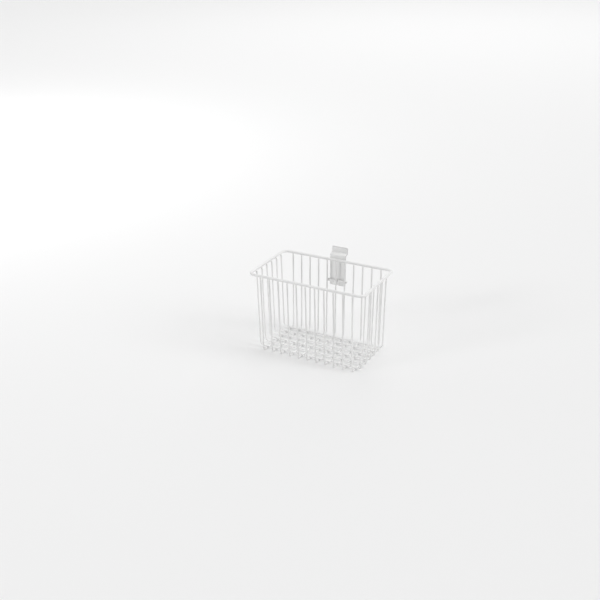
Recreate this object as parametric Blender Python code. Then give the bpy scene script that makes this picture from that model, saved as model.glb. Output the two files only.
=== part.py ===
"""Hanging storage box: an open basket of welded steel wire with a hook plate on its back.

The basket stands on its floor wires at Z = 0. +Z is up, +X runs along the long side and +Y points
to the wall that the hook plate hangs on. The origin is the middle of the box's footprint.
"""

import math

import bmesh
import bpy

MM = 0.001

# Rim: one thick wire bent to a rounded rectangle, measured along the middle of the wire
RIM_WIDTH = 200.5 * MM
RIM_DEPTH = 115.5 * MM
RIM_HEIGHT = 137.5 * MM
RIM_CORNER_RADIUS = 10 * MM
RIM_DIAMETER = 4.5 * MM

# Thin wires, each bent to a U that makes two walls and a strip of the floor
WIRE_DIAMETER = 2.5 * MM
WIRE_END_BELOW_RIM = 0.7 * MM
WALL_LEAN = 3 * MM
FLOOR_BEND_RADIUS = 7 * MM
CROSS_WIRE_COUNT = 11
CROSS_ROW_FROM_RIM = 19.25 * MM
LONG_WIRE_COUNT = 6
LONG_ROW_FROM_RIM = 18.15 * MM

# Room left between two welded pieces
WELD_GAP = 0.3 * MM

# Points of one mesh closer than this are the same point
MERGE_DISTANCE = 0.003 * MM

# Crossbar: a short length of the rim's wire behind the rear wall, measured from the rim's middle
CROSSBAR_BELOW_RIM = 36.8 * MM
CROSSBAR_OVERHANG = 1 * MM
CROSSBAR_PITCHES = 2

# Hook plate: one strip of sheet, with heights measured along it from the rim's middle
PLATE_WIDTH = 28.5 * MM
PLATE_THICKNESS = 1.5 * MM
PLATE_FOOT_BELOW_RIM = 45.8 * MM
PLATE_CORNER_RADIUS = 2 * MM
PLATE_BEND_RADIUS = 2.3 * MM
STEP_ABOVE_RIM = 8.6 * MM
STEP_RISE = 1 * MM
STEP_BACK = 7 * MM
LIP_LENGTH = 10.7 * MM
LIP_TIP_LENGTH = 2.2 * MM
LIP_TIP_ANGLE = math.radians(18)
CUT_OVERRUN = 1 * MM

# Counts of facets
WIRE_BEVEL_STEPS = 2
RIM_BEVEL_STEPS = 4
BEND_STEPS = 6

# Sizes that follow from the ones above
wire_radius = WIRE_DIAMETER / 2
rim_radius = RIM_DIAMETER / 2
wire_inset = rim_radius + WELD_GAP + wire_radius
cross_wire_pitch = (RIM_WIDTH - 2 * CROSS_ROW_FROM_RIM) / (CROSS_WIRE_COUNT - 1)
long_wire_pitch = (RIM_DEPTH - 2 * LONG_ROW_FROM_RIM) / (LONG_WIRE_COUNT - 1)
rear_lean = math.atan2(WALL_LEAN, RIM_HEIGHT - wire_radius)
plate_middle = rim_radius + WELD_GAP + PLATE_THICKNESS / 2
lip_middle = plate_middle + STEP_BACK
lip_top = STEP_ABOVE_RIM + STEP_RISE + LIP_LENGTH


def rounded_path(corners, radius, closed=False):
    """Turns a flat path's corners into arcs, and gives its points with their directions."""
    path = []
    last = len(corners) - 1
    for index, corner in enumerate(corners):
        before = corners[index - 1]
        after = corners[(index + 1) % len(corners)]
        angle_in = math.atan2(corner[1] - before[1], corner[0] - before[0])
        angle_out = math.atan2(after[1] - corner[1], after[0] - corner[0])
        if not closed and index == 0:
            path.append((corner, angle_out))
            continue
        if not closed and index == last:
            path.append((corner, angle_in))
            continue
        turn = math.remainder(angle_out - angle_in, math.tau)
        side = math.copysign(radius, turn)
        run = radius * math.tan(abs(turn) / 2)
        centre_x = corner[0] - run * math.cos(angle_in) - side * math.sin(angle_in)
        centre_y = corner[1] - run * math.sin(angle_in) + side * math.cos(angle_in)
        for step in range(BEND_STEPS + 1):
            angle = angle_in + turn * step / BEND_STEPS
            point = (centre_x + side * math.sin(angle), centre_y - side * math.cos(angle))
            path.append((point, angle))
    return path


def strip_outline(corners, radius, thickness):
    """Gives the closed outline of a bent strip whose middle follows the corners."""
    path = rounded_path(corners, radius)
    sides = []
    for half in (thickness / 2, -thickness / 2):
        sides.append([(x - half * math.sin(a), y + half * math.cos(a)) for (x, y), a in path])
    return sides[0] + sides[1][::-1]


def wire_curve(name, points, diameter, bevel_steps, closed=False):
    """Makes the curve of a round wire through the points."""
    curve = bpy.data.curves.new(name, "CURVE")
    curve.dimensions = "3D"
    curve.bevel_depth = diameter / 2
    curve.bevel_resolution = bevel_steps
    curve.use_fill_caps = not closed
    spline = curve.splines.new("POLY")
    spline.points.add(len(points) - 1)
    for slot, point in zip(spline.points, points):
        slot.co = (*point, 1)
    spline.use_cyclic_u = closed
    return curve


def place(name, data, home, parent=None, location=(0, 0, 0), turn=(0, 0, 0)):
    """Makes an object in its collection, at its place under its parent."""
    thing = bpy.data.objects.new(name, data)
    thing.location = location
    thing.rotation_euler = turn
    thing.parent = parent
    home.objects.link(thing)
    return thing


def flat_block(name, outline, thickness, home, parent, turn):
    """Makes a closed mesh of a flat outline with half its thickness on each side."""
    curve = bpy.data.curves.new(name, "CURVE")
    curve.dimensions = "2D"
    curve.fill_mode = "BOTH"
    curve.extrude = thickness / 2
    spline = curve.splines.new("POLY")
    spline.points.add(len(outline) - 1)
    for slot, (x, y) in zip(spline.points, outline):
        slot.co = (x, y, 0, 1)
    spline.use_cyclic_u = True
    flat = place(name, curve, home, parent, turn=turn)
    bpy.context.view_layer.update()
    evaluated = flat.evaluated_get(bpy.context.evaluated_depsgraph_get())
    mesh = bpy.data.meshes.new_from_object(evaluated)
    matrix = flat.matrix_world.copy()
    bpy.data.objects.remove(flat)
    cage = bmesh.new()
    cage.from_mesh(mesh)
    bmesh.ops.remove_doubles(cage, verts=cage.verts, dist=MERGE_DISTANCE)
    bmesh.ops.recalc_face_normals(cage, faces=cage.faces)
    cage.to_mesh(mesh)
    cage.free()
    block = place(name, mesh, home, parent)
    block.matrix_world = matrix
    return block


def coat(name, colour, roughness):
    """Makes a powder-coat material."""
    material = bpy.data.materials.new(name)
    material.use_nodes = True
    shader = material.node_tree.nodes["Principled BSDF"]
    shader.inputs["Base Color"].default_value = (*colour, 1)
    shader.inputs["Roughness"].default_value = roughness
    shader.inputs["Metallic"].default_value = 0
    return material


def spread(count, pitch):
    """Gives the places of a row of wires about the middle."""
    return [(index - (count - 1) / 2) * pitch for index in range(count)]


def u_path(rim_length, floor_height):
    """Gives the path of one U wire: down a wall, along the floor and up the other wall."""
    rise = RIM_HEIGHT - floor_height
    floor_half = rim_length / 2 - wire_inset - WALL_LEAN
    end_half = floor_half + WALL_LEAN * (rise - WIRE_END_BELOW_RIM) / rise
    end_height = RIM_HEIGHT - WIRE_END_BELOW_RIM
    corners = [
        (-end_half, end_height),
        (-floor_half, floor_height),
        (floor_half, floor_height),
        (end_half, end_height),
    ]
    return [point for point, _ in rounded_path(corners, FLOOR_BEND_RADIUS)]


def make_rim(home, basket):
    """Makes the thick wire round the mouth."""
    x = RIM_WIDTH / 2
    y = RIM_DEPTH / 2
    path = rounded_path([(-x, -y), (x, -y), (x, y), (-x, y)], RIM_CORNER_RADIUS, closed=True)
    points = [(*point, 0) for point, _ in path]
    curve = wire_curve("rim", points, RIM_DIAMETER, RIM_BEVEL_STEPS, closed=True)
    curve.materials.append(coat("rim_coat", (0.86, 0.86, 0.85), 0.4))
    place("rim", curve, home, basket, (0, 0, RIM_HEIGHT))


def make_cross_wires(home, basket):
    """Makes the wires that run from the front wall under the floor to the rear wall."""
    points = [(0, y, z) for y, z in u_path(RIM_DEPTH, wire_radius)]
    curve = wire_curve("cross_wire", points, WIRE_DIAMETER, WIRE_BEVEL_STEPS)
    curve.materials.append(coat("cross_wire_coat", (0.86, 0.86, 0.85), 0.42))
    for index, x in enumerate(spread(CROSS_WIRE_COUNT, cross_wire_pitch), 1):
        place(f"cross_wire_{index:02d}", curve, home, basket, (x, 0, 0))


def make_long_wires(home, basket):
    """Makes the wires that run from the left wall over the cross wires to the right wall."""
    floor_height = wire_radius + WIRE_DIAMETER + WELD_GAP
    points = [(x, 0, z) for x, z in u_path(RIM_WIDTH, floor_height)]
    curve = wire_curve("long_wire", points, WIRE_DIAMETER, WIRE_BEVEL_STEPS)
    curve.materials.append(coat("long_wire_coat", (0.86, 0.86, 0.85), 0.42))
    for index, y in enumerate(spread(LONG_WIRE_COUNT, long_wire_pitch), 1):
        place(f"long_wire_{index:02d}", curve, home, basket, (0, y, 0))


def make_crossbar(home, rear_wall):
    """Makes the short thick wire that carries the plate's foot."""
    half = CROSSBAR_PITCHES * cross_wire_pitch / 2 + wire_radius + CROSSBAR_OVERHANG
    curve = wire_curve("bracket_crossbar", [(-half, 0, 0), (half, 0, 0)], RIM_DIAMETER, RIM_BEVEL_STEPS)
    curve.materials.append(coat("crossbar_coat", (0.85, 0.85, 0.84), 0.42))
    place("bracket_crossbar", curve, home, rear_wall, (0, 0, -CROSSBAR_BELOW_RIM))


def make_hook_plate(home, cutters, rear_wall):
    """Makes the bent strip: a flat plate, a step back over the rim and a lip that turns up."""
    tip_side = LIP_TIP_LENGTH * math.sin(LIP_TIP_ANGLE)
    tip_rise = LIP_TIP_LENGTH * math.cos(LIP_TIP_ANGLE)
    past_tip = CUT_OVERRUN * math.tan(LIP_TIP_ANGLE)
    corners = [
        (plate_middle, -PLATE_FOOT_BELOW_RIM - CUT_OVERRUN),
        (plate_middle, STEP_ABOVE_RIM),
        (lip_middle, STEP_ABOVE_RIM + STEP_RISE),
        (lip_middle, lip_top - tip_rise),
        (lip_middle - tip_side - past_tip, lip_top + CUT_OVERRUN),
    ]
    profile = strip_outline(corners, PLATE_BEND_RADIUS, PLATE_THICKNESS)
    width = PLATE_WIDTH + 2 * CUT_OVERRUN
    turn = (math.pi / 2, 0, math.pi / 2)
    plate = flat_block("hook_plate", profile, width, home, rear_wall, turn)
    plate.data.materials.append(coat("plate_coat", (0.8, 0.8, 0.79), 0.5))

    x = PLATE_WIDTH / 2
    low = -PLATE_FOOT_BELOW_RIM
    blank = [(-x, low), (x, low), (x, lip_top), (-x, lip_top)]
    outline = [point for point, _ in rounded_path(blank, PLATE_CORNER_RADIUS, closed=True)]
    depth = 2 * (lip_middle + PLATE_THICKNESS + CUT_OVERRUN)
    cutter = flat_block("plate_outline", outline, depth, cutters, rear_wall, (math.pi / 2, 0, 0))
    cutter.hide_render = True
    cutter.display_type = "WIRE"
    trim = plate.modifiers.new("rounded_corners", "BOOLEAN")
    trim.operation = "INTERSECT"
    trim.object = cutter


def main():
    """Clears the scene and builds the box."""
    for old in list(bpy.data.objects):
        bpy.data.objects.remove(old)
    home = bpy.data.collections.new("hanging_storage_box")
    cutters = bpy.data.collections.new("hanging_storage_box_cutters")
    for group in (home, cutters):
        bpy.context.scene.collection.children.link(group)

    front_reach = RIM_DEPTH / 2 + rim_radius
    lip_back = lip_middle + PLATE_THICKNESS / 2
    lip_straight_top = lip_top - LIP_TIP_LENGTH
    rear_reach = RIM_DEPTH / 2 + lip_back * math.cos(rear_lean) + lip_straight_top * math.sin(rear_lean)
    basket = place("basket_frame", None, home, location=(0, (front_reach - rear_reach) / 2, 0))
    rear_middle = (0, RIM_DEPTH / 2, RIM_HEIGHT)
    rear_wall = place("rear_wall_frame", None, home, basket, rear_middle, (-rear_lean, 0, 0))

    make_rim(home, basket)
    make_cross_wires(home, basket)
    make_long_wires(home, basket)
    make_crossbar(home, rear_wall)
    make_hook_plate(home, cutters, rear_wall)


main()
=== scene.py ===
"""Looks of the hanging storage box: a welded wire basket, coated white, with a hook plate on its back.

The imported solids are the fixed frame, in metres, with +Z up, +X along the long side and +Y to the
wall. The rim, every wire, the crossbar and the plate are made again here as round, smooth pieces in
the places of their solids, and the welds that hold them together are added between them.
"""

import logging
import math
from dataclasses import dataclass, field
from enum import Enum
from typing import Callable, Iterator

import bmesh
import bpy
import numpy as np
from mathutils import Matrix, Vector

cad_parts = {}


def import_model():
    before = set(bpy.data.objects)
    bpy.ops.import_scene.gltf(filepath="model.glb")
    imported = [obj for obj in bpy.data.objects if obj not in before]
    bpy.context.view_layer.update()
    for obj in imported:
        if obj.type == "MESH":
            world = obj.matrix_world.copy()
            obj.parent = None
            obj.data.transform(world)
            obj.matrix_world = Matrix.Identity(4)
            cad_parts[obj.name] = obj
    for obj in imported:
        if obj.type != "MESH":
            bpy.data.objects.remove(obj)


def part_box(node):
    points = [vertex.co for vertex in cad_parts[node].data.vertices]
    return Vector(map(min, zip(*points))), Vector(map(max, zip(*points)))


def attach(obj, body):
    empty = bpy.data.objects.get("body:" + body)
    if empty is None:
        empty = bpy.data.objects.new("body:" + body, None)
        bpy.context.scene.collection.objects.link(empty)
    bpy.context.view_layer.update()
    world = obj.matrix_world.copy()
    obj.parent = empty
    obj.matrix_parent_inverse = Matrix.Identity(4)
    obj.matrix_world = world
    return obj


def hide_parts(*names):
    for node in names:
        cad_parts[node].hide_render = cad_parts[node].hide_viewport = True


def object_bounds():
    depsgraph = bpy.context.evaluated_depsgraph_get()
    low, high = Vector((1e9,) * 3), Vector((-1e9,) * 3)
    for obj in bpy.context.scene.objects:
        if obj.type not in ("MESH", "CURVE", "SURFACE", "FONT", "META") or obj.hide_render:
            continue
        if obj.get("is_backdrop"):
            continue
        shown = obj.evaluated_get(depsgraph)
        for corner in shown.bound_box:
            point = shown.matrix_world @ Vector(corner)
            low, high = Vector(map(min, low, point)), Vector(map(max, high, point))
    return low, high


MM = 0.001
BODY = "root"
DARKER_COAT = "darker_coat"
WHITE = (1, 1, 1, 1)
# Most of a noise's values lie between these two.
NOISE_LOW, NOISE_HIGH = 0.3, 0.7
# Edges that turn by more than this are rounded.
SHARP_EDGE = math.radians(50)
# The places of a Mix node's sockets when it mixes colours.
MIX_SHARE, MIX_FIRST, MIX_SECOND, MIX_RESULT = 0, 6, 7, 2

Colour = tuple[float, float, float]
Point = tuple[float, float, float]

log = logging.getLogger("hanging_storage_box")


class Slot(Enum):
    """The record's material slots."""

    RIM = "rim_coat"
    WIRE = "wire_coat"
    PLATE = "plate_coat"


class Run(Enum):
    """The way that a U-shaped wire runs under the basket, as the index of its axis."""

    FRONT_TO_BACK = 1
    LEFT_TO_RIGHT = 0


class TreeBench:
    """Adds nodes to one tree, with each input given as a constant or as another node's output."""

    def __init__(self, tree: bpy.types.NodeTree) -> None:
        """Takes the tree to work on.

        Args:
            tree: The tree that gets the nodes.
        """
        self.tree = tree

    def add(self, kind: str, values: dict[str, object] | None = None) -> bpy.types.Node:
        """Adds a node.

        Args:
            kind: The node's type name.
            values: The node's inputs by name. An output of another node is linked.

        Returns:
            The new node.
        """
        node = self.tree.nodes.new(kind)
        for name, value in (values or {}).items():
            self.feed(node.inputs[name], value)
        return node

    def feed(self, socket: bpy.types.NodeSocket, value: object) -> None:
        """Sets an input to a constant, or links it to an output.

        Args:
            socket: The input.
            value: The constant or the output.
        """
        if isinstance(value, bpy.types.NodeSocket):
            self.tree.links.new(value, socket)
        else:
            socket.default_value = value

    def blend(self, share: object, first: object, second: object) -> bpy.types.NodeSocket:
        """Adds a mix of two colours.

        Args:
            share: How much of the second colour is taken.
            first: The colour at 0.
            second: The colour at 1.

        Returns:
            The mixed colour.
        """
        node = self.tree.nodes.new("ShaderNodeMix")
        node.data_type = "RGBA"
        self.feed(node.inputs[MIX_SHARE], share)
        self.feed(node.inputs[MIX_FIRST], first)
        self.feed(node.inputs[MIX_SECOND], second)
        return node.outputs[MIX_RESULT]

    def spread(self, value: object, low: float, high: float) -> bpy.types.NodeSocket:
        """Adds a Map Range that takes the range of a noise to two limits.

        Args:
            value: The noise.
            low: The result at the noise's low values.
            high: The result at the noise's high values.

        Returns:
            The mapped value.
        """
        limits = {"From Min": NOISE_LOW, "From Max": NOISE_HIGH, "To Min": low, "To Max": high}
        return self.add("ShaderNodeMapRange", {"Value": value, **limits}).outputs["Result"]


def grey(level: float, warmth: float = 0.005) -> Colour:
    """Gives a very slightly warm grey.

    Args:
        level: How much light it throws back, from 0 to 1.
        warmth: How much less of that is blue.

    Returns:
        The colour.
    """
    return (level, level, level - warmth)


@dataclass(frozen=True)
class PowderCoat:
    """A white powder coat on steel: faint clouding, orange peel, and a darker colour on marked points,
    such as the wires' thinly coated tips and the plate's cut edges.

    Sizes are in metres. The colours are the full coat, the coat where it clouds and the darker colour of
    marked points. A detail is how many finer layers a noise has. The clear values are those of the
    glossy skin on top.
    """

    slot: Slot
    full: Colour
    clouded: Colour
    thin: Colour
    smoothest: float = 0.36
    roughest: float = 0.48
    peel_height: float = 0.03 * MM
    cloud_size: float = 35 * MM
    cloud_detail: float = 3
    peel_size: float = 0.9 * MM
    peel_detail: float = 1
    grain_size: float = 0.25 * MM
    grain_detail: float = 2
    refraction: float = 1.5
    clear_weight: float = 0.4
    clear_roughness: float = 0.22

    def noise(self, bench: TreeBench, size: float, detail: float) -> bpy.types.NodeSocket:
        """Adds a noise on the piece's own coordinates.

        Args:
            bench: The bench of the coat's tree.
            size: The size of the noise's features.
            detail: How many finer layers the noise has.

        Returns:
            The noise's value.
        """
        place = bench.add("ShaderNodeTexCoord").outputs["Object"]
        values = {"Vector": place, "Scale": 1 / size, "Detail": detail}
        return bench.add("ShaderNodeTexNoise", values).outputs["Fac"]

    def build(self) -> bpy.types.Material:
        """Makes the coat's material.

        Returns:
            The material, named for its slot.
        """
        material = bpy.data.materials.new(self.slot.value)
        material.use_nodes = True
        bench = TreeBench(material.node_tree)
        shader = material.node_tree.nodes["Principled BSDF"]

        clouds = bench.spread(self.noise(bench, self.cloud_size, self.cloud_detail), 0, 1)
        skin = bench.blend(clouds, (*self.full, 1), (*self.clouded, 1))
        edge = bench.add("ShaderNodeAttribute")
        edge.attribute_name = DARKER_COAT
        bench.feed(shader.inputs["Base Color"], bench.blend(edge.outputs["Fac"], skin, (*self.thin, 1)))

        grain = self.noise(bench, self.grain_size, self.grain_detail)
        bench.feed(shader.inputs["Roughness"], bench.spread(grain, self.smoothest, self.roughest))
        peel = self.noise(bench, self.peel_size, self.peel_detail)
        bump = bench.add("ShaderNodeBump", {"Height": peel, "Distance": self.peel_height, "Strength": 1.0})
        bench.feed(shader.inputs["Normal"], bump.outputs["Normal"])
        shader.inputs["IOR"].default_value = self.refraction
        shader.inputs["Coat Weight"].default_value = self.clear_weight
        shader.inputs["Coat Roughness"].default_value = self.clear_roughness
        return material


class Recipe(TreeBench):
    """One Geometry Nodes tree with named inputs, and the way to run it into a plain mesh."""

    def __init__(self, name: str) -> None:
        """Starts the tree with its geometry input and output.

        Args:
            name: The tree's name.
        """
        super().__init__(bpy.data.node_groups.new(name, "GeometryNodeTree"))
        self.keys: dict[str, str] = {}
        for side in ("INPUT", "OUTPUT"):
            self.tree.interface.new_socket(name="Geometry", in_out=side, socket_type="NodeSocketGeometry")
        self.entry = self.add("NodeGroupInput")

    def ask(self, name: str, kind: str) -> bpy.types.NodeSocket:
        """Adds a named input to the tree.

        Args:
            name: The input's name.
            kind: The input's type, such as Float.

        Returns:
            The output that gives its value inside the tree.
        """
        item = self.tree.interface.new_socket(name=name, in_out="INPUT", socket_type=f"NodeSocket{kind}")
        self.keys[name] = item.identifier
        return self.entry.outputs[name]

    def close(self, geometry: bpy.types.NodeSocket) -> None:
        """Ends the tree: smooth shading, Realize Instances and Set Material.

        Args:
            geometry: The geometry that the tree gives.
        """
        finish = self.ask("Finish", "Material")
        smooth = self.add("GeometryNodeSetShadeSmooth", {"Geometry": geometry}).outputs[0]
        real = self.add("GeometryNodeRealizeInstances", {"Geometry": smooth}).outputs[0]
        coated = self.add("GeometryNodeSetMaterial", {"Geometry": real, "Material": finish}).outputs[0]
        self.add("NodeGroupOutput", {"Geometry": coated})

    def run(
        self, name: str, start: bpy.types.Mesh, values: dict[str, object], end_round: float = 0
    ) -> bpy.types.Object:
        """Runs the tree on a mesh and keeps the result as a plain mesh.

        Args:
            name: The new piece's name.
            start: The mesh that goes in.
            values: The tree's inputs by name.
            end_round: How far the sharp edges are rounded off, in metres.

        Returns:
            The piece, at the origin, with its place in its mesh.
        """
        piece = place_piece(name, start)
        steps = piece.modifiers.new("shape", "NODES")
        steps.node_group = self.tree
        for label, value in values.items():
            steps[self.keys[label]] = value
        if end_round:
            round_edges(piece, end_round)
        return settle(piece)


def place_piece(name: str, mesh: bpy.types.Mesh) -> bpy.types.Object:
    """Makes an object of a mesh, at the origin.

    Args:
        name: The object's name.
        mesh: Its mesh.

    Returns:
        The object, linked to the scene.
    """
    piece = bpy.data.objects.new(name, mesh)
    bpy.context.scene.collection.objects.link(piece)
    return piece


def round_edges(piece: bpy.types.Object, width: float, segments: int = 3) -> None:
    """Adds a Bevel that rounds the piece's sharp edges and leaves its curved sides alone.

    Args:
        piece: The piece.
        width: The width of the rounding, in metres.
        segments: The facets across the rounding.
    """
    bevel = piece.modifiers.new("edges", "BEVEL")
    bevel.width = width
    bevel.segments = segments
    bevel.limit_method = "ANGLE"
    bevel.angle_limit = SHARP_EDGE
    bevel.harden_normals = True


def settle(piece: bpy.types.Object) -> bpy.types.Object:
    """Turns a piece's modifiers into a plain mesh and removes them.

    Args:
        piece: The piece with its modifiers.

    Returns:
        The same piece.
    """
    bpy.context.view_layer.update()
    evaluated = piece.evaluated_get(bpy.context.evaluated_depsgraph_get())
    mesh = bpy.data.meshes.new_from_object(evaluated)
    mesh.name = piece.name
    piece.modifiers.clear()
    piece.data = mesh
    return piece


def chain_mesh(name: str, points: list[Point], closed: bool = False) -> bpy.types.Mesh:
    """Makes a mesh of edges that joins points in a row.

    Args:
        name: The mesh's name.
        points: The points, in metres.
        closed: Whether the last point joins the first.

    Returns:
        The mesh.
    """
    links = [(index, index + 1) for index in range(len(points) - 1)]
    if closed:
        links.append((len(points) - 1, 0))
    mesh = bpy.data.meshes.new(name)
    mesh.from_pydata(points, links, [])
    return mesh


def wire_recipe() -> Recipe:
    """Makes the tree that bends a wire along a chain of corners.

    Returns:
        The recipe, with inputs for the bends, the wire and its finish.
    """
    recipe = Recipe("bent_wire")
    line = recipe.add("GeometryNodeMeshToCurve", {"Mesh": recipe.entry.outputs["Geometry"]}).outputs[0]
    bends = recipe.add("GeometryNodeFilletCurve", {"Curve": line})
    bends.mode = "POLY"
    recipe.feed(bends.inputs["Radius"], recipe.ask("Bend Radius", "Float"))
    recipe.feed(bends.inputs["Count"], recipe.ask("Bend Steps", "Int"))
    bends.inputs["Limit Radius"].default_value = True
    ring = recipe.add("GeometryNodeCurvePrimitiveCircle", {"Resolution": recipe.ask("Facets", "Int")})
    recipe.feed(ring.inputs["Radius"], recipe.ask("Wire Radius", "Float"))
    swept = {"Curve": bends.outputs[0], "Profile Curve": ring.outputs[0], "Fill Caps": True}
    recipe.close(recipe.add("GeometryNodeCurveToMesh", swept).outputs[0])
    return recipe


def point_vector(recipe: Recipe, name: str) -> bpy.types.NodeSocket:
    """Adds the reading of a vector that each point carries.

    Args:
        recipe: The tree that reads it.
        name: The vector's name.

    Returns:
        The vector.
    """
    node = recipe.add("GeometryNodeInputNamedAttribute")
    node.data_type = "FLOAT_VECTOR"
    node.inputs["Name"].default_value = name
    return node.outputs["Attribute"]


def weld_recipe() -> Recipe:
    """Makes the tree that sets one small bead of fused metal on each weld.

    Returns:
        The recipe. It reads each point's size and its two directions, and a fixed seed.
    """
    recipe = Recipe("weld_beads")
    least = recipe.ask("Least Share", "Float")
    seed = recipe.ask("Seed", "Int")
    facets = {"Segments": recipe.ask("Facets", "Int"), "Rings": recipe.ask("Rings", "Int"), "Radius": 1.0}
    bead = recipe.add("GeometryNodeMeshUVSphere", facets).outputs["Mesh"]

    upright = recipe.add("FunctionNodeAlignRotationToVector", {"Vector": point_vector(recipe, "across")})
    upright.axis = "Z"
    turned = recipe.add("FunctionNodeAlignRotationToVector", {"Vector": point_vector(recipe, "along")})
    recipe.feed(turned.inputs["Rotation"], upright.outputs[0])
    turned.axis = "X"
    turned.pivot_axis = "Z"
    varied = recipe.add("FunctionNodeRandomValue")
    varied.data_type = "FLOAT"
    random_inputs = {socket.name: socket for socket in varied.inputs if socket.enabled}
    recipe.feed(random_inputs["Min"], least)
    recipe.feed(random_inputs["Max"], 1.0)
    recipe.feed(random_inputs["Seed"], seed)
    scaled = recipe.add("ShaderNodeVectorMath")
    scaled.operation = "SCALE"
    recipe.feed(scaled.inputs[0], point_vector(recipe, "size"))
    factor = [socket for socket in varied.outputs if socket.enabled][0]
    recipe.feed(scaled.inputs["Scale"], factor)
    beads = {"Points": recipe.entry.outputs["Geometry"], "Instance": bead}
    beads.update({"Rotation": turned.outputs[0], "Scale": scaled.outputs[0]})
    recipe.close(recipe.add("GeometryNodeInstanceOnPoints", beads).outputs[0])
    return recipe


@dataclass(frozen=True)
class Weld:
    """One weld: its middle, the way from one piece to the other, a way along it, and its half sizes."""

    middle: Point
    across: Point
    along: Point
    size: Point


@dataclass
class Basket:
    """The places of the basket's parts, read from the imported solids.

    Sizes are in metres. The wall lean is how far a wall moves out over its height, and the gap is
    the room between two welded pieces. The wire inset is the distance from the rim's middle line to
    the middle of a wall wire, and the rear wall is the frame that leans with it, at the rim's middle.
    """

    rim_corner_radius: float = 10 * MM
    floor_bend_radius: float = 7 * MM
    wall_lean: float = 3 * MM
    weld_gap: float = 0.3 * MM
    cross_wire_count: int = 11
    long_wire_count: int = 6
    rim_radius: float = field(init=False)
    rim_height: float = field(init=False)
    rim_half: tuple[float, float] = field(init=False)
    middle: tuple[float, float] = field(init=False)
    wire_radius: float = field(init=False)
    wire_top: float = field(init=False)
    wire_inset: float = field(init=False)
    rear_wall: Matrix = field(init=False)

    def __post_init__(self) -> None:
        """Reads the rim's and the wires' sizes from their solids."""
        low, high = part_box("rim")
        self.rim_radius = (high.z - low.z) / 2
        self.rim_height = (high.z + low.z) / 2
        self.rim_half = ((high.x - low.x) / 2 - self.rim_radius, (high.y - low.y) / 2 - self.rim_radius)
        self.middle = ((high.x + low.x) / 2, (high.y + low.y) / 2)
        low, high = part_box("cross_wire_01")
        self.wire_radius = (high.x - low.x) / 2
        self.wire_top = high.z
        self.wire_inset = self.rim_radius + self.weld_gap + self.wire_radius
        slope = self.wall_lean / (self.rim_height - self.wire_radius)
        turn = Matrix.Rotation(-math.atan(slope), 4, "X")
        rear_middle = (self.middle[0], self.middle[1] + self.rim_half[1], self.rim_height)
        self.rear_wall = Matrix.Translation(rear_middle) @ turn

    def wire_names(self, run: Run) -> list[str]:
        """Gives the names of one row of wires' solids.

        Args:
            run: Which row.

        Returns:
            The names, in order.
        """
        if run is Run.FRONT_TO_BACK:
            return [f"cross_wire_{index + 1:02d}" for index in range(self.cross_wire_count)]
        return [f"long_wire_{index + 1:02d}" for index in range(self.long_wire_count)]

    def wire_place(self, name: str, run: Run) -> float:
        """Gives a wire's place along its row.

        Args:
            name: The wire's solid.
            run: The way that the wire runs.

        Returns:
            The X of a wire that runs front to back, or the Y of one that runs left to right.
        """
        low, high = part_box(name)
        row_axis = 1 - run.value
        return (low[row_axis] + high[row_axis]) / 2

    def floor_height(self, name: str) -> float:
        """Gives the height of the middle of a wire's floor stretch."""
        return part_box(name)[0].z + self.wire_radius

    def wall_place(self, run: Run, floor_height: float, height: float) -> float:
        """Gives how far a wall wire's middle lies from the basket's middle at a height.

        Args:
            run: The way that the wire runs.
            floor_height: The height of the middle of its floor stretch.
            height: The height asked for.

        Returns:
            The distance along the wire's own axis.
        """
        at_floor = self.rim_half[run.value] - self.wire_inset - self.wall_lean
        return at_floor + self.wall_lean * (height - floor_height) / (self.rim_height - floor_height)


@dataclass
class Mouth:
    """The thick wire round the basket's mouth."""

    basket: Basket
    facets: int = 28
    bend_steps: int = 14

    def build(self, recipe: Recipe, finish: bpy.types.Material) -> bpy.types.Object:
        """Bends the rim.

        Args:
            recipe: The tree for bent wire.
            finish: The rim's coat.

        Returns:
            The rim.
        """
        basket = self.basket
        x, y = basket.rim_half
        corners = [
            (basket.middle[0] + side_x * x, basket.middle[1] + side_y * y, basket.rim_height)
            for side_x, side_y in ((-1, -1), (1, -1), (1, 1), (-1, 1))
        ]
        values = {
            "Bend Radius": basket.rim_corner_radius,
            "Bend Steps": self.bend_steps,
            "Wire Radius": basket.rim_radius,
            "Facets": self.facets,
            "Finish": finish,
        }
        rim = recipe.run("rim_coated", chain_mesh("rim_corners", corners, closed=True), values)
        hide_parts("rim")
        return rim


def mark(piece: bpy.types.Object, how_dark: Callable[[bpy.types.MeshVertex], float]) -> None:
    """Writes how far a piece's coat is darkened at each point, from 0 to 1.

    Args:
        piece: The piece.
        how_dark: Gives the value at a point. Values past 0 and 1 are cut off.
    """
    layer = piece.data.attributes.new(DARKER_COAT, "FLOAT", "POINT")
    values = [min(1.0, max(0.0, how_dark(vertex))) for vertex in piece.data.vertices]
    layer.data.foreach_set("value", values)


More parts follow.
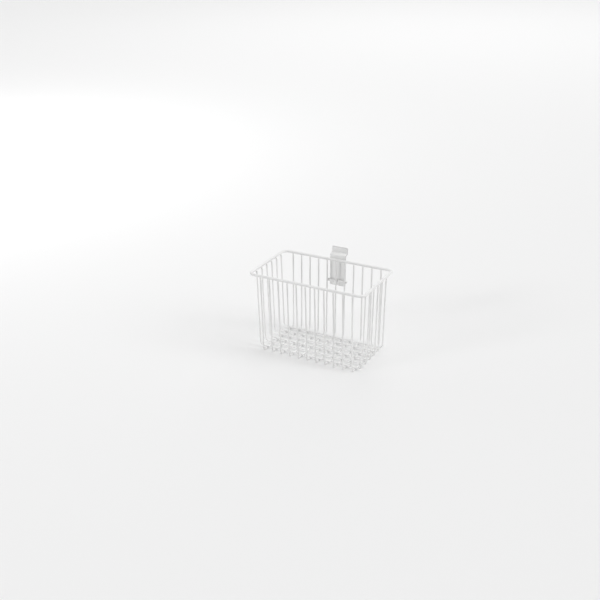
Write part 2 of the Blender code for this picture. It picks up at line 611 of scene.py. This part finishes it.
@dataclass
class WireRow:
    """One row of thin U-shaped wires, with rounded cut ends."""

    basket: Basket
    run: Run
    facets: int = 16
    bend_steps: int = 10
    end_round: float = 0.55 * MM
    tip_length: float = 1.2 * MM

    def corners(self, name: str) -> list[Point]:
        """Gives the four corners of one wire's path.

        Args:
            name: The wire's solid.

        Returns:
            The corners, from one top end to the other.
        """
        basket = self.basket
        floor = basket.floor_height(name)
        stops = ((-1, basket.wire_top), (-1, floor), (1, floor), (1, basket.wire_top))
        corners = []
        for side, height in stops:
            corner = [0.0, 0.0, height]
            reach = basket.wall_place(self.run, floor, height)
            corner[self.run.value] = basket.middle[self.run.value] + side * reach
            corner[1 - self.run.value] = basket.wire_place(name, self.run)
            corners.append(tuple(corner))
        return corners

    def thin_tips(self, wire: bpy.types.Object) -> None:
        """Marks the wire's cut ends, where the coat is thin.

        Args:
            wire: The finished wire.
        """
        top = self.basket.wire_top
        mark(wire, lambda vertex: (vertex.co.z - (top - self.tip_length)) / self.tip_length)

    def build(self, recipe: Recipe, finish: bpy.types.Material) -> Iterator[bpy.types.Object]:
        """Bends the row's wires.

        Args:
            recipe: The tree for bent wire.
            finish: The wires' coat.

        Yields:
            Each wire.
        """
        for name in self.basket.wire_names(self.run):
            values = {
                "Bend Radius": self.basket.floor_bend_radius,
                "Bend Steps": self.bend_steps,
                "Wire Radius": self.basket.wire_radius,
                "Facets": self.facets,
                "Finish": finish,
            }
            start = chain_mesh(f"{name}_corners", self.corners(name))
            wire = recipe.run(f"{name}_coated", start, values, self.end_round)
            self.thin_tips(wire)
            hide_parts(name)
            yield wire


@dataclass
class Crossbar:
    """The short thick wire behind the rear wall that carries the plate's foot."""

    basket: Basket
    facets: int = 28
    end_round: float = 0.7 * MM

    def build(self, recipe: Recipe, finish: bpy.types.Material) -> bpy.types.Object:
        """Makes the crossbar.

        Args:
            recipe: The tree for bent wire.
            finish: Its coat.

        Returns:
            The crossbar.
        """
        low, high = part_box("bracket_crossbar")
        y, z = (low.y + high.y) / 2, (low.z + high.z) / 2
        values = {
            "Bend Radius": 0.0,
            "Bend Steps": 1,
            "Wire Radius": self.basket.rim_radius,
            "Facets": self.facets,
            "Finish": finish,
        }
        ends = chain_mesh("crossbar_ends", [(low.x, y, z), (high.x, y, z)])
        bar = recipe.run("bracket_crossbar_coated", ends, values, self.end_round)
        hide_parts("bracket_crossbar")
        return bar


@dataclass
class HookPlate:
    """The bent steel strip: flat below, stepped back over the rim and turned up into a lip.

    Heights are measured along the rear wall from the rim's middle, and distances from the rim's
    middle out to the wall. The tip clearance is how far the rounded tip stays under the top of its
    solid. Rows nearer than a small share of the edge's rounding are made one row.
    """

    basket: Basket
    thickness: float = 1.5 * MM
    foot_below_rim: float = 45.8 * MM
    corner_radius: float = 2 * MM
    bend_radius: float = 2.3 * MM
    step_above_rim: float = 8.6 * MM
    step_rise: float = 1 * MM
    step_back: float = 7 * MM
    lip_length: float = 10.7 * MM
    tip_length: float = 2.2 * MM
    tip_angle: float = math.radians(18)
    tip_clearance: float = 0.02 * MM
    edge_round: float = 0.32 * MM
    bend_steps: int = 12
    corner_steps: int = 10
    rows_per_rounding: int = 8
    edge_index: int = 1

    def corners(self) -> list[tuple[float, float]]:
        """Gives the corners of the strip's middle line.

        Returns:
            Distance out and height of each corner, from foot to tip.
        """
        plate = self.basket.rim_radius + self.basket.weld_gap + self.thickness / 2
        lip = plate + self.step_back
        corner_rise = (self.thickness / 2 - self.edge_round) * math.sin(self.tip_angle)
        corner_rise += self.edge_round * (1 - math.cos(self.tip_angle))
        top = self.step_above_rim + self.step_rise + self.lip_length - corner_rise - self.tip_clearance
        tip_side = self.tip_length * math.sin(self.tip_angle)
        tip_rise = self.tip_length * math.cos(self.tip_angle)
        return [
            (plate, -self.foot_below_rim),
            (plate, self.step_above_rim),
            (lip, self.step_above_rim + self.step_rise),
            (lip, top - tip_rise),
            (lip - tip_side, top),
        ]

    def line(self) -> np.ndarray:
        """Gives points along the strip's middle line, with its bends as arcs.

        Returns:
            A row for each point: distance out and height.
        """
        corners = [Vector(corner) for corner in self.corners()]
        points = [corners[0]]
        for before, corner, after in zip(corners, corners[1:], corners[2:]):
            way_in = (corner - before).normalized()
            way_out = (after - corner).normalized()
            turn = way_in.angle_signed(way_out)
            run = self.bend_radius * math.tan(abs(turn) / 2)
            side = math.copysign(1, turn)
            centre = corner - way_in * run + Vector((way_in.y, -way_in.x)) * side * self.bend_radius
            start = corner - way_in * run - centre
            for step in range(self.bend_steps + 1):
                angle = -turn * step / self.bend_steps
                points.append(centre + Matrix.Rotation(angle, 2) @ start)
        points.append(corners[-1])
        return np.array([tuple(point) for point in points])

    def rows(self) -> Iterator[tuple[float, float, float]]:
        """Gives the strip's rows from foot to tip.

        Yields:
            Distance out, height and half width of each row.
        """
        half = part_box("hook_plate")[1].x
        line = self.line()
        lengths = np.concatenate([[0], np.cumsum(np.linalg.norm(np.diff(line, axis=0), axis=1))])
        angles = [step * math.pi / 2 / self.corner_steps for step in range(self.corner_steps + 1)]
        near = [self.corner_radius * (1 - math.cos(angle)) for angle in angles]
        stops = sorted({*near, *(lengths[-1] - distance for distance in near), *lengths})
        last = -1.0
        for stop in stops:
            if stop - last < self.edge_round / self.rows_per_rounding:
                continue
            last = stop
            from_end = min(stop, lengths[-1] - stop, self.corner_radius)
            short = self.corner_radius - math.sqrt(
                self.corner_radius**2 - (self.corner_radius - from_end) ** 2
            )
            out, height = (float(np.interp(stop, lengths, line[:, axis])) for axis in (0, 1))
            yield out, height, half - short

    def darken_edges(self, plate: bpy.types.Object) -> None:
        """Marks the sheet's cut edges, which the coat colours darker, and leaves the plate one material.

        Args:
            plate: The plate, whose edges have the second material.
        """
        edge_faces = [face for face in plate.data.polygons if face.material_index == self.edge_index]
        edge_points = {index for face in edge_faces for index in face.vertices}
        mark(plate, lambda vertex: float(vertex.index in edge_points))
        for face in edge_faces:
            face.material_index = 0
        plate.data.materials.pop()

    def build(self, finish: bpy.types.Material) -> bpy.types.Object:
        """Bends the plate and rounds its edges.

        Args:
            finish: Its coat.

        Returns:
            The plate.
        """
        cage = bmesh.new()
        last: list[bmesh.types.BMVert] = []
        for out, height, half in self.rows():
            row = [cage.verts.new((side * half, out, height)) for side in (-1, 1)]
            if last:
                cage.faces.new((last[0], last[1], row[1], row[0]))
            last = row
        mesh = bpy.data.meshes.new("hook_plate_coated")
        cage.to_mesh(mesh)
        cage.free()
        plate = place_piece("hook_plate_coated", mesh)
        for _ in ("face", "edge"):
            plate.data.materials.append(finish)
        wall = plate.modifiers.new("sheet", "SOLIDIFY")
        wall.thickness = self.thickness
        wall.offset = 0
        wall.use_even_offset = True
        wall.material_offset_rim = self.edge_index
        round_edges(plate, self.edge_round)
        settle(plate)
        self.darken_edges(plate)
        plate.data.transform(self.basket.rear_wall)
        plate.data.shade_smooth()
        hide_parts("hook_plate")
        return plate


@dataclass
class Welds:
    """The resistance welds that hold the basket together."""

    basket: Basket
    spread: float = 1.05 * MM
    depth: float = 0.62 * MM
    plate_spread: float = 2.4 * MM
    plate_places: tuple[float, ...] = (-0.5, 0.5)
    crossbar_wires: tuple[str, ...] = ("cross_wire_05", "cross_wire_06", "cross_wire_07")
    below_rim_middle: float = 1.35 * MM
    least_share: float = 0.86
    seed: int = 7
    facets: int = 12
    rings: int = 6

    @property
    def round_bead(self) -> Point:
        """Gives the half sizes of a round bead."""
        return (self.spread, self.spread, self.depth)

    def floor(self) -> Iterator[Weld]:
        """Gives the welds of the floor.

        Yields:
            The weld at each crossing of the floor's wires.
        """
        basket = self.basket
        for cross in basket.wire_names(Run.FRONT_TO_BACK):
            x = basket.wire_place(cross, Run.FRONT_TO_BACK)
            for over in basket.wire_names(Run.LEFT_TO_RIGHT):
                y = basket.wire_place(over, Run.LEFT_TO_RIGHT)
                z = (basket.floor_height(cross) + basket.floor_height(over)) / 2
                yield Weld((x, y, z), (0, 0, 1), (1, 0, 0), self.round_bead)

    def rim(self) -> Iterator[Weld]:
        """Gives the welds at the rim.

        Yields:
            The weld of each upper end of a wire.
        """
        basket = self.basket
        rim_side = math.sqrt(basket.rim_radius**2 - self.below_rim_middle**2)
        for run in Run:
            for name in basket.wire_names(run):
                for side in (-1, 1):
                    place = [0.0, 0.0, basket.rim_height - self.below_rim_middle]
                    reach = basket.rim_half[run.value] - rim_side - basket.weld_gap / 2
                    place[run.value] = basket.middle[run.value] + side * reach
                    place[1 - run.value] = basket.wire_place(name, run)
                    across = [0, 0, 0]
                    across[run.value] = side
                    yield Weld(tuple(place), tuple(across), (0, 0, 1), self.round_bead)

    def bracket(self) -> Iterator[Weld]:
        """Gives the welds of the bracket.

        Yields:
            Each weld of the crossbar to a rear wire, then each of the plate to the rim and the crossbar.
        """
        basket = self.basket
        to_world = basket.rear_wall
        out = tuple(to_world.to_3x3() @ Vector((0, 1, 0)))
        low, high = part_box("bracket_crossbar")
        bar = to_world.inverted() @ ((low + high) / 2)
        surface = basket.rim_radius + basket.weld_gap / 2
        for name in self.crossbar_wires:
            place = to_world @ Vector((basket.wire_place(name, Run.FRONT_TO_BACK), -surface, bar.z))
            yield Weld(tuple(place), out, (1, 0, 0), self.round_bead)
        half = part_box("hook_plate")[1].x
        size = (self.plate_spread, self.spread, self.depth)
        for height in (0.0, bar.z):
            for share in self.plate_places:
                place = to_world @ Vector((share * half, surface, height))
                yield Weld(tuple(place), out, (1, 0, 0), size)

    def build(self, recipe: Recipe, finish: bpy.types.Material) -> bpy.types.Object:
        """Sets a bead on every weld.

        Args:
            recipe: The tree for weld beads.
            finish: The beads' coat.

        Returns:
            All the beads, as one piece.
        """
        welds = [*self.floor(), *self.rim(), *self.bracket()]
        points = bpy.data.meshes.new("weld_points")
        points.from_pydata([weld.middle for weld in welds], [], [])
        columns = {
            "across": [weld.across for weld in welds],
            "along": [weld.along for weld in welds],
            "size": [weld.size for weld in welds],
        }
        for name, vectors in columns.items():
            layer = points.attributes.new(name, "FLOAT_VECTOR", "POINT")
            layer.data.foreach_set("vector", [number for vector in vectors for number in vector])
        values = {
            "Least Share": self.least_share,
            "Seed": self.seed,
            "Facets": self.facets,
            "Rings": self.rings,
            "Finish": finish,
        }
        return recipe.run("welds", points, values)


@dataclass(frozen=True)
class Viewpoint:
    """The photograph's camera, as fitted to the basket's wires.

    Angles are in radians and distances in metres. The origin is seen at a place in the frame, given
    in pixels from the frame's optical middle. Nothing nearer or farther than the limits is seen.
    """

    focal_pixels: float = 840.56
    frame_pixels: float = 600
    sensor_width: float = 36
    yaw: float = -0.50532
    pitch: float = 0.4285
    roll: float = -0.01352
    distance: float = 1.40337
    origin: Point = (0, -4.62 * MM, 1.25 * MM)
    origin_right_pixels: float = 21.265
    origin_down_pixels: float = 48.62
    middle_up_pixels: float = 1
    near_limit: float = 0.01
    far_limit: float = 100

    def build(self) -> None:
        """Makes the camera and sets it as the scene's own."""
        ahead = Vector((
            math.sin(self.yaw) * math.cos(self.pitch),
            math.cos(self.yaw) * math.cos(self.pitch),
            -math.sin(self.pitch),
        ))
        level = Vector((math.cos(self.yaw), -math.sin(self.yaw), 0))
        upright = level.cross(ahead)
        right = level * math.cos(self.roll) + upright * math.sin(self.roll)
        up = upright * math.cos(self.roll) - level * math.sin(self.roll)
        side = self.origin_right_pixels * self.distance / self.focal_pixels
        drop = self.origin_down_pixels * self.distance / self.focal_pixels
        eye = Vector(self.origin) - ahead * self.distance - right * side + up * drop

        data = bpy.data.cameras.new("viewpoint")
        data.sensor_width = self.sensor_width
        data.lens = self.focal_pixels * self.sensor_width / self.frame_pixels
        data.shift_y = -self.middle_up_pixels / self.frame_pixels
        data.clip_start = self.near_limit
        data.clip_end = self.far_limit
        camera = bpy.data.objects.new("viewpoint", data)
        bpy.context.scene.collection.objects.link(camera)
        turn = Matrix((right, up, -ahead)).transposed().to_4x4()
        camera.matrix_world = Matrix.Translation(eye) @ turn
        bpy.context.scene.camera = camera


@dataclass(frozen=True)
class Lamp:
    """One large lamp so far off that it lights the whole floor alike.

    The bearing is measured from +Y, the wall's side, towards +X. The spread is how wide the lamp is
    seen from the basket. These three are in degrees. The share is what it adds to a white surface
    that faces it, where 1 is full white.
    """

    name: str
    bearing: float
    elevation: float
    spread: float
    share: float

    def build(self) -> None:
        """Makes the lamp."""
        bearing, elevation = math.radians(self.bearing), math.radians(self.elevation)
        away = Vector((
            math.sin(bearing) * math.cos(elevation),
            math.cos(bearing) * math.cos(elevation),
            math.sin(elevation),
        ))
        data = bpy.data.lights.new(self.name, "SUN")
        data.energy = self.share * math.pi
        data.angle = math.radians(self.spread)
        lamp = bpy.data.objects.new(self.name, data)
        bpy.context.scene.collection.objects.link(lamp)
        lamp.rotation_mode = "QUATERNION"
        lamp.rotation_quaternion = away.to_track_quat("Z", "Y")


@dataclass(frozen=True)
class SoftBox:
    """One square soft box that hangs over the floor and brightens a part of it.

    The place and the size of its side are in metres.
    """

    name: str
    place: Point
    size: float
    watts: float

    def build(self) -> None:
        """Makes the soft box, facing down."""
        data = bpy.data.lights.new(self.name, "AREA")
        data.shape = "SQUARE"
        data.size = self.size
        data.energy = self.watts
        light = bpy.data.objects.new(self.name, data)
        bpy.context.scene.collection.objects.link(light)
        light.location = self.place


@dataclass(frozen=True)
class Studio:
    """The pale floor, the sky, the soft boxes and the lamps.

    The sky light is what the sky gives the pieces, and the sky seen is how bright it looks behind
    the floor.
    """

    floor_radius: float = 20
    floor_segments: int = 96
    floor_colour: Colour = (0.84, 0.84, 0.84)
    floor_roughness: float = 0.9
    floor_gloss: float = 0.1
    sky_light: float = 0.32
    sky_seen: float = 0.87
    soft_boxes: tuple[SoftBox, ...] = (
        SoftBox("far_left_box", place=(-1.6, 0.5, 0.9), size=1, watts=5),
        SoftBox("rear_box", place=(-1.2, 4, 2.5), size=3, watts=14),
    )
    lamps: tuple[Lamp, ...] = (
        Lamp("right", bearing=84, elevation=34, spread=28, share=0.41),
        Lamp("front_left", bearing=217, elevation=21, spread=12, share=0.24),
        Lamp("top", bearing=60, elevation=78, spread=60, share=0.29),
        Lamp("back", bearing=340, elevation=26, spread=50, share=0.16),
        Lamp("left", bearing=266, elevation=15, spread=25, share=0.06),
    )

    def floor(self) -> None:
        """Makes the floor, just under the basket's wires."""
        cage = bmesh.new()
        size = {"segments": self.floor_segments, "radius": self.floor_radius}
        bmesh.ops.create_circle(cage, cap_ends=True, **size)
        mesh = bpy.data.meshes.new("floor")
        cage.to_mesh(mesh)
        cage.free()
        floor = place_piece("floor", mesh)
        material = bpy.data.materials.new("floor_paper")
        material.use_nodes = True
        shader = material.node_tree.nodes["Principled BSDF"]
        shader.inputs["Base Color"].default_value = (*self.floor_colour, 1)
        shader.inputs["Roughness"].default_value = self.floor_roughness
        shader.inputs["Specular IOR Level"].default_value = self.floor_gloss
        mesh.materials.append(material)
        floor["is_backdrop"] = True

    def sky(self) -> None:
        """Makes the even light from all round, which the camera sees as a pale backdrop."""
        world = bpy.data.worlds.new("sky")
        bpy.context.scene.world = world
        world.use_nodes = True
        bench = TreeBench(world.node_tree)
        world.node_tree.nodes.clear()
        seen = bench.add("ShaderNodeLightPath").outputs["Is Camera Ray"]
        pick = bench.add("ShaderNodeMixShader", {"Fac": seen})
        for socket, strength in zip(pick.inputs[1:], (self.sky_light, self.sky_seen)):
            glow = bench.add("ShaderNodeBackground", {"Color": WHITE, "Strength": strength})
            bench.feed(socket, glow.outputs[0])
        bench.add("ShaderNodeOutputWorld", {"Surface": pick.outputs[0]})

    def build(self) -> None:
        """Makes the floor and the lights."""
        self.floor()
        self.sky()
        for light in (*self.soft_boxes, *self.lamps):
            light.build()
        bpy.context.scene.view_settings.view_transform = "Standard"


def keep(piece: bpy.types.Object, slot: Slot) -> None:
    """Lets a piece ride on the basket's body and reports it with its slot.

    Args:
        piece: The finished piece.
        slot: The record's material slot of its finish.
    """
    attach(piece, BODY)
    log.info("%s: %d faces, %s", piece.name, len(piece.data.polygons), slot.value)


def main() -> None:
    """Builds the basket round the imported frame, then the studio and the camera."""
    logging.basicConfig(level=logging.INFO, format="%(name)s: %(message)s")
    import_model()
    frame_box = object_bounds()
    Viewpoint().build()

    coats = (
        # The rim's coat is the wires' own white coat painted a little darker, as painted shade on the rim.
        PowderCoat(Slot.RIM, full=grey(0.81), clouded=grey(0.79), thin=grey(0.69)),
        PowderCoat(Slot.WIRE, full=grey(0.87), clouded=grey(0.85), thin=grey(0.7)),
        # The plate's marked colour makes its cut edges a dark grey, much darker than the wires' tips.
        PowderCoat(Slot.PLATE, full=grey(0.87), clouded=grey(0.85), thin=grey(0.48), roughest=0.54),
    )
    finishes = {coat.slot: coat.build() for coat in coats}
    bent_wire, beads = wire_recipe(), weld_recipe()
    basket = Basket()
    keep(Mouth(basket).build(bent_wire, finishes[Slot.RIM]), Slot.RIM)
    for run in Run:
        for wire in WireRow(basket, run).build(bent_wire, finishes[Slot.WIRE]):
            keep(wire, Slot.WIRE)
    # The crossbar wears the rim's darker coat, with the same painted shade.
    keep(Crossbar(basket).build(bent_wire, finishes[Slot.RIM]), Slot.RIM)
    keep(HookPlate(basket).build(finishes[Slot.PLATE]), Slot.PLATE)
    keep(Welds(basket).build(beads, finishes[Slot.WIRE]), Slot.WIRE)

    Studio().build()
    boxes = {"cad": frame_box, "visual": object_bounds()}
    {name: [list(corner) for corner in box] for name, box in boxes.items()}


if __name__ == "__main__":
    main()
